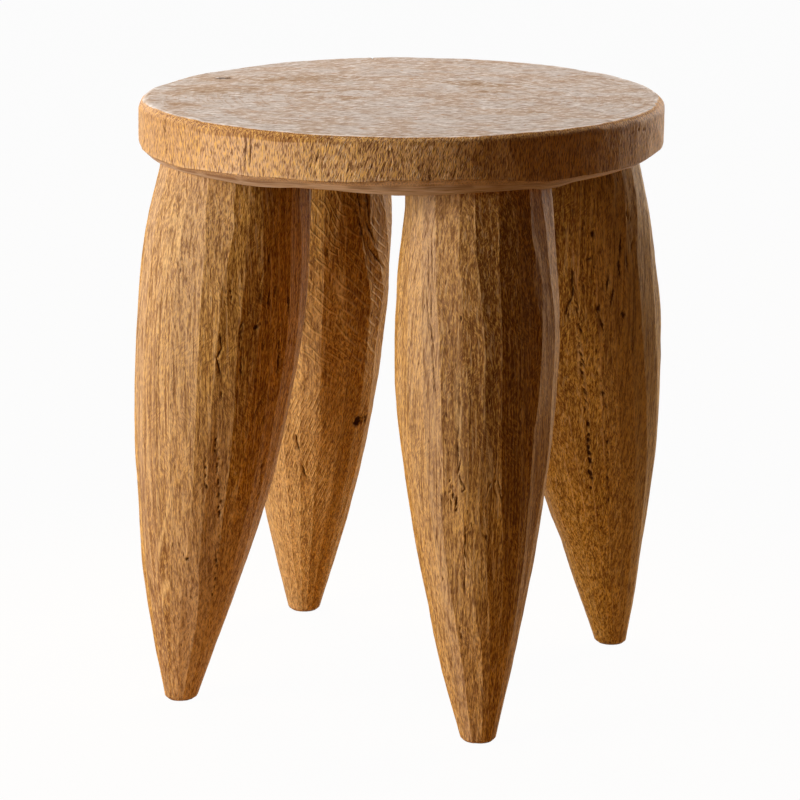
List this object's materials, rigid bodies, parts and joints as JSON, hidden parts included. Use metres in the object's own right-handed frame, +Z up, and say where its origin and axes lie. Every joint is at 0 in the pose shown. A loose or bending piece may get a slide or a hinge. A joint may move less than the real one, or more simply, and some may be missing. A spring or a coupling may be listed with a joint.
{
  "type": "stool",
  "caption": "Round stool with a thick flat seat and stout hand-carved spindle legs that splay to small pointed feet.",
  "frame": {"origin": "on the floor, under the centre of the seat", "axes": "+Z up; the legs stand on the diagonals of X and Y, and the front is towards -Y"},
  "size_m": [0.35, 0.35, 0.4],
  "materials": {
    "seat_wood": "worn, lightly waxed, paler and greyer on top",
    "leg_wood": "blade-cut flats, lightly waxed"
  },
  "bodies": {
    "root": {"seat": "seat_wood", "leg_front_left": "leg_wood", "leg_front_right": "leg_wood", "leg_back_right": "leg_wood", "leg_back_left": "leg_wood"}
  },
  "joints": []
}
